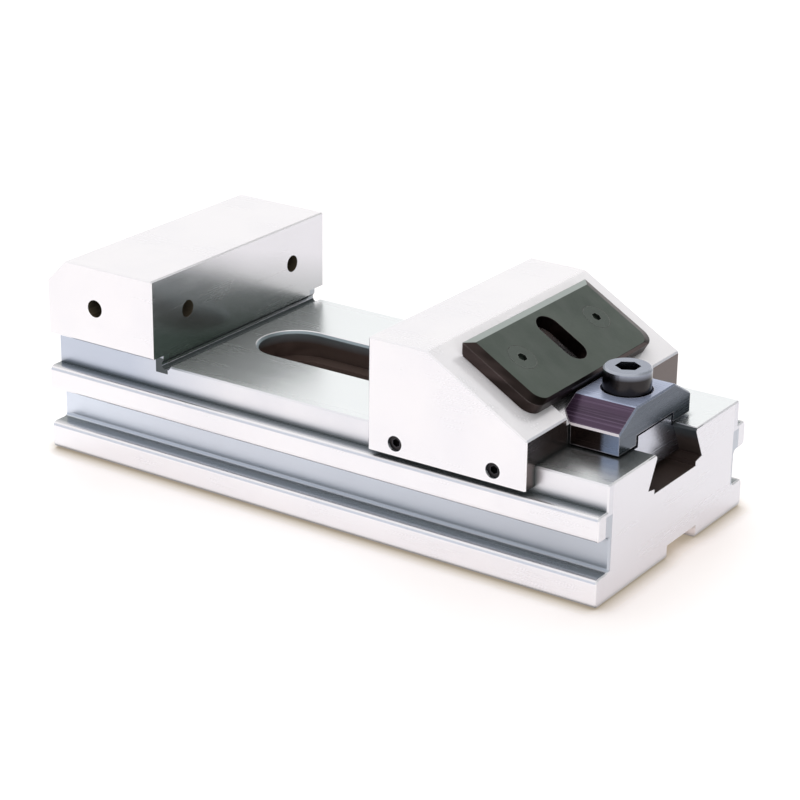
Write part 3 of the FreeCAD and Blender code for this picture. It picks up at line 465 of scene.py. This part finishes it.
# The tongue under the upper end is stoned bright with the slope
stoned = within(tree, (off, None, 0.00036), (down, None, 0.0060))
coat = blend_colors(tree, stoned, coat, (0.885, 0.865, 0.890))
tree.links.new(coat, skin["Base Color"])
tree.links.new(spread(tree, stoned, 0.0, 1.0, 1.0, 0.25), skin["Metallic"])
dull = reckon(tree, "ADD", spread(tree, marks["Lines"], 0.3, 0.7, 0.28, 0.38),
              times(tree, touch["Haze"], 0.06))
tree.links.new(dull, skin["Roughness"])
lay_bump(tree, skin, marks["Lines"], 0.15, 0.00003)


def pick(test, kind="VERT"):
    """In edit mode, select only the points or faces that pass a test on their middle."""
    mesh = bpy.context.object.data
    bpy.ops.mesh.select_mode(type=kind)
    bpy.ops.mesh.select_all(action="DESELECT")
    bpy.ops.object.mode_set(mode="OBJECT")
    for item in (mesh.vertices if kind == "VERT" else mesh.polygons):
        item.select = bool(test(item.co if kind == "VERT" else item.center))
    bpy.ops.object.mode_set(mode="EDIT")


def pick_upright(test):
    """In edit mode, select only the upright edges whose two ends pass a test."""
    mesh = bpy.context.object.data
    bpy.ops.mesh.select_mode(type="EDGE")
    bpy.ops.mesh.select_all(action="DESELECT")
    bpy.ops.object.mode_set(mode="OBJECT")
    for edge in mesh.edges:
        one, other = (mesh.vertices[index].co for index in edge.vertices)
        edge.select = bool(test(one) and test(other) and abs(one.z - other.z) > 0.1)
    bpy.ops.object.mode_set(mode="EDIT")


def start_shape(add, **sizes):
    """Add a primitive at its size and place, and open it in edit mode."""
    bpy.ops.object.select_all(action="DESELECT")
    add(**sizes)
    bpy.ops.object.transform_apply(location=True, rotation=True, scale=True)
    bpy.ops.object.mode_set(mode="EDIT")
    return bpy.context.object


# It is shaped in millimetres: down the slope from the crest, across the slope, and off it
MM = 0.001
foot_start, plate_end, plate_half, plate_wall, plate_thick = 5.8, 30.0, 31.0, 3.1, 4.0
top_length, top_half, top_centre, end_lean = 23.1, 28.1, 14.6, 1.75
corner_radius, close = 4.0, 0.01
plate_length = plate_end - foot_start
plate = start_shape(bpy.ops.mesh.primitive_cube_add, size=1.0,
                    location=(foot_start + plate_length/2, 0, plate_wall/2),
                    scale=(plate_length, 2*plate_half, plate_wall))
plate.name = "cover_plate"
pick_upright(lambda at: at.x > plate_end - close)
bpy.ops.mesh.bevel(offset=corner_radius, segments=8, affect="EDGES")
# The ground top rises inside shallow bevels, and the upper end leans back to stand plumb
pick(lambda at: at.z > plate_wall - close, "FACE")
bpy.ops.mesh.extrude_region_move(
    TRANSFORM_OT_translate={"value": (0, 0, plate_thick - plate_wall)})
bpy.ops.transform.resize(value=(top_length/plate_length, top_half/plate_half, 1.0),
                         center_override=(top_centre, 0, plate_thick))
pick(lambda at: at.x < foot_start + close and abs(at.z - plate_wall) < close)
bpy.ops.transform.translate(value=(-end_lean, 0, 0))
bpy.ops.object.mode_set(mode="OBJECT")


def combine(piece, other, operation):
    """Cut another shape out of a piece, or join it on, and take that shape away."""
    work(piece, "BOOLEAN", object=other, operation=operation, solver="EXACT")
    bpy.data.objects.remove(other)


# A thin tongue at the upper end lies over the front keeper screw's bore
tongue = start_shape(bpy.ops.mesh.primitive_cube_add, size=1.0, location=(4.6, 0, 0.15),
                     scale=(4.4, 12.0, 0.3))
pick_upright(lambda at: at.x < 2.5)
bpy.ops.mesh.bevel(offset=3.0, segments=6, affect="EDGES")
bpy.ops.object.mode_set(mode="OBJECT")
combine(plate, tongue, "UNION")

# The window has round ends
window_down, window_half_width, window_half_straight = 16.4, 4.0, 4.3
window = start_shape(bpy.ops.mesh.primitive_cylinder_add, vertices=48, radius=window_half_width,
                     depth=8.0, location=(window_down, 0, 2.0))
pick(lambda at: at.x > window_down + close)
bpy.ops.transform.translate(value=(window_half_straight, 0, 0))
pick(lambda at: at.x < window_down - close)
bpy.ops.transform.translate(value=(-window_half_straight, 0, 0))
bpy.ops.object.mode_set(mode="OBJECT")
combine(plate, window, "DIFFERENCE")

# The countersinks take the two screws' heads: a short straight mouth, a cone, and a bore
seat_down, seat_aside, mouth_radius, bore_radius = 16.0, 19.0, 4.18, 2.28
mouth_foot, cone_foot = 3.8, 1.9
for side in (-1, 1):
    seat_across = side*seat_aside
    sink = start_shape(bpy.ops.mesh.primitive_cylinder_add, vertices=64, radius=mouth_radius,
                       depth=1.2, location=(seat_down, seat_across, mouth_foot + 0.6))
    pick(lambda at: at.z < mouth_foot + close, "FACE")
    bpy.ops.mesh.extrude_region_move(
        TRANSFORM_OT_translate={"value": (0, 0, cone_foot - mouth_foot)})
    narrower = bore_radius/mouth_radius
    bpy.ops.transform.resize(value=(narrower, narrower, 1.0),
                             center_override=(seat_down, seat_across, cone_foot))
    bpy.ops.mesh.extrude_region_move(TRANSFORM_OT_translate={"value": (0, 0, -4.0)})
    bpy.ops.object.mode_set(mode="OBJECT")
    combine(plate, sink, "DIFFERENCE")

# Ease the edges, and lay the plate on the slope
work(plate, "BEVEL", width=0.14, segments=2, limit_method="ANGLE", angle_limit=math.radians(14))
plate.matrix_world = Matrix.Translation(crest) @ Matrix((
    slope_down, (0, 1, 0), slope_up)).transposed().to_4x4() @ Matrix.Scale(MM, 4)
bpy.ops.object.transform_apply(location=True, rotation=True, scale=True)
dress(plate, "jaw_cover_plate", "jaw", browned)

# Plate screws, two countersunk socket screws flush with the plate. They are alloy steel,
# browned with the plate, with the lathe's faint turning marks and paler worn rims.
screw_steel, tree, skin, piece = new_finish("browned screw steel", 1.0)
touch = use(tree, handling)
worn = use(tree, wearing, {"Reach": 0.0003, "Amount": 1.0})["Worn"]
turning = noise(tree, piece["Object"], 1500.0, 3.0, 0.7)
coat = blend_colors(tree, touch["Haze"], (0.118, 0.136, 0.120), (0.098, 0.115, 0.102))
coat = blend_colors(tree, times(tree, worn, 0.7), coat, (0.36, 0.37, 0.35))
tree.links.new(coat, skin["Base Color"])
tree.links.new(spread(tree, turning, 0.3, 0.7, 0.26, 0.40), skin["Roughness"])
lay_bump(tree, skin, turning, 0.12, 0.00003)
for side in ("near", "far"):
    finish_node(f"cover_plate_screw_{side}", "jaw", screw_steel)

# Clamp bridge over the rail's slot. It is hardened steel with an oven-blued skin: grey blue on
# the ground top, a darker grey blue painted on the end as painted shade, and violet on the
# slopes, where the cutter's lines still show. The clamp screw draws it down on the slider.
blued, tree, skin, piece = new_finish("oven-blued steel", 1.0)
facing, place = split(tree, piece["Normal"]), split(tree, piece["Object"])
marks, touch = use(tree, grinding, {"Fineness": 0.55}), use(tree, handling)
worn = use(tree, wearing, {"Reach": 0.0005, "Amount": 0.8})["Worn"]
passes = spread(tree, marks["Passes"], 0.30, 0.70)
flat_blue = blend_colors(tree, touch["Haze"], (0.430, 0.480, 0.640), (0.350, 0.395, 0.540))
# The end is painted a darker blue than the top, as painted shade
end_shade_blue = blend_colors(tree, passes, (0.078, 0.095, 0.122), (0.110, 0.128, 0.160))
flat_blue = blend_colors(tree, reckon(tree, "GREATER_THAN", facing["X"], 0.7), flat_blue, end_shade_blue)
# The slopes look up and aside
aside = reckon(tree, "ABSOLUTE", facing["Y"])
slope = times(tree, spread(tree, aside, 0.40, 0.48), spread(tree, facing["Z"], 0.3, 0.5))
violet = blend_colors(tree, passes, (0.042, 0.022, 0.046), (0.085, 0.046, 0.092))
violet = blend_colors(tree, spread(tree, marks["Lines"], 0.50, 0.72, 0.0, 0.6),
                      violet, (0.17, 0.12, 0.19))
coat = blend_colors(tree, slope, flat_blue, violet)
# The legs' sides and the channel are painted a brown black as painted shade and reflection,
# paling to a grey blue painted reflection on the last few millimetres of the legs
side_shade = reckon(tree, "MAXIMUM", spread(tree, aside, 0.90, 0.95),
                  reckon(tree, "LESS_THAN", facing["Z"], -0.5))
bridge_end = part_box("clamp_bridge")[1][0]
leg_shade = blend_colors(tree, spread(tree, place["X"], bridge_end - 0.0056, bridge_end - 0.0044),
                   (0.034, 0.024, 0.022), (0.230, 0.265, 0.350))
coat = blend_colors(tree, side_shade, coat, leg_shade)
coat = blend_colors(tree, times(tree, worn, 0.75), coat, (0.85, 0.78, 0.84))
# The foot of each slope and the end's upper edge carry painted highlight lines, in pale colours
foot_highlight = within(tree, (aside, 0.75, 0.97), (facing["Z"], 0.20, 0.62))
end_edge_light = within(tree, (facing["X"], 0.50, 0.90), (facing["Z"], 0.40, 0.90))
coat = blend_colors(tree, foot_highlight, coat, (0.80, 0.72, 0.74))
coat = blend_colors(tree, end_edge_light, coat, (0.26, 0.29, 0.37))
tree.links.new(coat, skin["Base Color"])
# The blue skin scatters part of the light, most on the ground top
shine = spread(tree, facing["Z"], 0.80, 0.90, 0.92, 0.35)
shine = reckon(tree, "MAXIMUM", shine, side_shade)
stoned = times(tree, reckon(tree, "MAXIMUM", foot_highlight, end_edge_light), 0.75)
stoned = reckon(tree, "MAXIMUM", times(tree, worn, 0.4), stoned)
tree.links.new(reckon(tree, "SUBTRACT", shine, stoned, clamp=True), skin["Metallic"])
dull = reckon(tree, "ADD", spread(tree, marks["Lines"], 0.3, 0.7, 0.17, 0.30),
              times(tree, touch["Haze"], 0.06))
tree.links.new(dull, skin["Roughness"])
lay_bump(tree, skin, marks["Lines"], 0.22, 0.00004)
finish_node("clamp_bridge", "bridge", blued)

# Slider and keeper in the dovetail slot, and the pins that guide the bridge on the slider. They
# are ground like the rail, a little duller, because they are oiled and rubbed by every move.
oiled_steel, tree, skin, piece = new_finish(
    "oiled slide steel", 1.0, Coat_Weight=0.15, Coat_Roughness=0.12)
marks, touch = use(tree, grinding, {"Fineness": 0.7}), use(tree, handling, {"Amount": 1.3})
coat = blend_colors(tree, touch["Haze"], (0.60, 0.62, 0.70), (0.46, 0.47, 0.54))
coat = blend_colors(tree, times(tree, touch["Specks"], 0.4), coat, (0.30, 0.26, 0.24))
tree.links.new(coat, skin["Base Color"])
tree.links.new(spread(tree, marks["Lines"], 0.3, 0.7, 0.18, 0.30), skin["Roughness"])
lay_bump(tree, skin, marks["Lines"], 0.15, 0.00003)
for name, body in (("clamp_slider", "carriage"), ("jaw_keeper", "jaw"),
                   ("guide_pin_near", "carriage"), ("guide_pin_far", "carriage")):
    finish_node(name, body, oiled_steel)

# Clamp screw and the small socket screws. They are alloy steel with a black oxide skin under
# oil, worn grey on the rims of the head and of the hexagon, where the key goes in. The clamp
# screw's head carries painted light higher up and a painted highlight on its rim.


def oxide_finish(name, wear):
    """Black oxide under oil, more or less worn on its rims."""
    material, tree, skin, piece = new_finish(
        name, 1.0, Coat_Weight=0.12*wear, Coat_Roughness=0.22)
    touch = use(tree, handling)
    worn = use(tree, wearing, {"Reach": 0.0006, "Amount": wear})["Worn"]
    grain = noise(tree, piece["Object"], 2200.0, 3.0, 0.65)
    coat = blend_colors(tree, touch["Haze"], (0.024, 0.022, 0.023), (0.038, 0.034, 0.035))
    # The clamp screw's head is painted a blue grey higher up, as painted light
    height, lit_from, lit_to = split(tree, piece["Object"])["Z"], 0.0476, 0.0494
    coat = blend_colors(tree, spread(tree, height, lit_from, lit_to),
                        coat, (0.300, 0.325, 0.390))
    coat = blend_colors(tree, times(tree, touch["Specks"], 0.3), coat, (0.10, 0.07, 0.055))
    coat = blend_colors(tree, times(tree, worn, 0.75), coat, (0.34, 0.37, 0.46))
    # The rounded rim of that head is painted pale grey and scatters the light: a painted highlight
    rim_highlight = within(tree, (split(tree, piece["Normal"])["Z"], 0.20, 0.97),
                      (height, lit_from, None))
    coat = blend_colors(tree, rim_highlight, coat, (0.420, 0.440, 0.500))
    tree.links.new(coat, skin["Base Color"])
    tree.links.new(spread(tree, rim_highlight, 0.0, 1.0, 1.0, 0.25), skin["Metallic"])
    tree.links.new(spread(tree, grain, 0.3, 0.7, 0.22, 0.27), skin["Roughness"])
    lay_bump(tree, skin, grain, 0.05, 0.00004)
    return material


black_oxide = oxide_finish("black oxide", 1.0)
sunk_oxide = oxide_finish("black oxide in the skirts", 0.15)
finish_node("clamp_screw", "screw", black_oxide, soft_edge=0.0005)
for end in ("front", "rear"):
    finish_node(f"keeper_screw_{end}", "jaw", black_oxide, soft_edge=0.0002)
    for side in ("near", "far"):
        finish_node(f"skirt_set_screw_{side}_{end}", "jaw", sunk_oxide)
for side in ("near", "far"):
    finish_node(f"draw_screw_{side}", "carriage", black_oxide)

# Brass pads that the skirt screws press to the rail. They are parted off bar, with the lathe's
# fine marks on them and a brown tarnish.
brass, tree, skin, piece = new_finish("turned brass", 1.0)
haze = use(tree, handling, {"Amount": 1.4})["Haze"]
turning = noise(tree, piece["Object"], 1800.0, 2.0, 0.6)
tree.links.new(blend_colors(tree, haze, (0.78, 0.60, 0.30), (0.52, 0.36, 0.17)),
               skin["Base Color"])
tree.links.new(spread(tree, turning, 0.3, 0.7, 0.24, 0.36), skin["Roughness"])
lay_bump(tree, skin, turning, 0.2, 0.00003)
for side in ("near", "far"):
    for end in ("front", "rear"):
        finish_node(f"rail_pad_{side}_{end}", "jaw", brass)

# Springs: one lifts the bridge off the slider, two draw the moving jaw back against it. They
# are cold-drawn round wire with a fine grain and a straw tint from tempering.
wire_steel, tree, skin, piece = new_finish("tempered spring wire", 1.0)
haze = use(tree, handling)["Haze"]
drawn = noise(tree, piece["Object"], 2600.0, 2.0, 0.6)
tree.links.new(blend_colors(tree, haze, (0.56, 0.55, 0.55), (0.50, 0.43, 0.34)),
               skin["Base Color"])
tree.links.new(spread(tree, drawn, 0.3, 0.7, 0.22, 0.34), skin["Roughness"])
lay_bump(tree, skin, drawn, 0.12, 0.00002)
lift = finish_node("lift_spring", "carriage", wire_steel, angle=70.0)
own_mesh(lift)
for side in ("near", "far"):
    name = f"return_spring_{side}"
    spring = finish_node(name, "jaw", wire_steel, angle=70.0)
    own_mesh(spring)

# Bench, light and camera, which aren't part of the vise. A white table runs out to a white
# surround. The ground faces mirror the room: a dark doorway to the right and behind, and a
# grey blue wall to the left and before.
bpy.ops.object.select_all(action="DESELECT")
bpy.ops.mesh.primitive_grid_add(x_subdivisions=8, y_subdivisions=8, size=6.0,
                                location=(0, 0, -0.0002))
table = bpy.context.object
table.name = "table"
bpy.ops.object.transform_apply(location=True, rotation=True, scale=True)

# The table is white to the camera but for the soft shadow close round the vise, which the
# ground faces don't mirror
white_table, tree, skin, piece = new_finish("white table", 0.0, Roughness=0.55)
nook = put(tree, "ShaderNodeAmbientOcclusion", {"samples": 12}, {"Distance": 0.006}).outputs["AO"]
path = tree.nodes.new("ShaderNodeLightPath").outputs
clear = reckon(tree, "MAXIMUM", spread(tree, nook, 0.46, 0.97),
               rest_of(tree, path["Is Camera Ray"]))
tree.links.new(blend_colors(tree, clear, (0.33, 0.29, 0.23), (0.56, 0.66, 0.72)),
               skin["Base Color"])
tree.links.new(blend_colors(tree, clear, (0.26, 0.22, 0.17), (0.54, 0.42, 0.36)),
               skin["Emission Color"])
seen = reckon(tree, "MAXIMUM", path["Is Camera Ray"], path["Is Glossy Ray"])
tree.links.new(seen, skin["Emission Strength"])
lay_bump(tree, skin, noise(tree, piece["Object"], 60.0, 3.0), 0.02, 0.0002)
table.data.materials.append(white_table)

# Each tone of the room fades in as the direction goes from the first to the second number
world = bpy.data.worlds.new("studio")
bpy.context.scene.world = world
world.use_nodes = True
tree = world.node_tree
backing = tree.nodes["Background"].inputs
axis = split(tree, coordinates(tree)["Generated"])
shade = (1.0, 1.0, 1.0)
room = [
    ("dark doorway", (0.022, 0.032, 0.025),
     [("X", 0.10, 0.24), ("Y", 0.0, 0.25), ("Z", -0.16, -0.02), ("Z", 0.95, 0.80)]),
    ("grey blue wall", (0.640, 0.690, 0.780),
     [("X", -0.06, -0.28), ("Y", -0.34, -0.56), ("Z", -0.02, 0.08), ("Z", 0.72, 0.54)]),
]
for label, tone, sides in room:
    fades = (put(tree, "ShaderNodeMapRange", {"interpolation_type": "SMOOTHSTEP", "label": label},
                 {"From Min": rim, "From Max": core}, {"Value": axis[letter]}).outputs[0]
             for letter, rim, core in sides)
    shade = blend_colors(tree, times(tree, *fades), shade, tone)
path = tree.nodes.new("ShaderNodeLightPath").outputs
tree.links.new(blend_colors(tree, path["Is Camera Ray"], shade, (1.0, 1.0, 1.0)), backing["Color"])
backing["Strength"].default_value = 1.0

# One soft square lamp looks at the vise from the left, behind and above
soft_box = bpy.data.lights.new("soft box", "AREA")
soft_box.size = 0.8
soft_box.energy = 2.8
soft_box.color = (1.0, 0.99, 0.97)
lamp = bpy.data.objects.new("soft box", soft_box)
bpy.context.scene.collection.objects.link(lamp)
lamp.location = (-0.25, 0.35, 0.95)
lamp_aim = Vector((0, 0, 0.02))
lamp.rotation_euler = (lamp_aim - lamp.location).to_track_quat("-Z", "Y").to_euler()
lamp.visible_glossy = False

# The camera stands where the photograph's was: turned and raised so far, at this distance
turned, raised, rolled = (math.radians(angle) for angle in (33.985, 21.704, 0.751))
target = Vector((8.713, -7.938, 27.40)) * MM
distance = 662.6 * MM
back = Vector((math.sin(turned)*math.cos(raised), -math.cos(turned)*math.cos(raised),
               math.sin(raised)))
level = Vector((math.cos(turned), math.sin(turned), 0))
upright = back.cross(level)
right = level*math.cos(rolled) + upright*math.sin(rolled)
up = upright*math.cos(rolled) - level*math.sin(rolled)
lens = bpy.data.cameras.new("camera")
lens.sensor_width = 36.0
lens.lens = 108.76
lens.clip_start = 0.01
lens.clip_end = 30.0
camera = bpy.data.objects.new("camera", lens)
bpy.context.scene.collection.objects.link(camera)
camera.matrix_world = Matrix((right, up, back)).transposed().to_4x4()
camera.location = target + back*distance
bpy.context.scene.camera = camera
bpy.context.scene.view_settings.view_transform = "Standard"
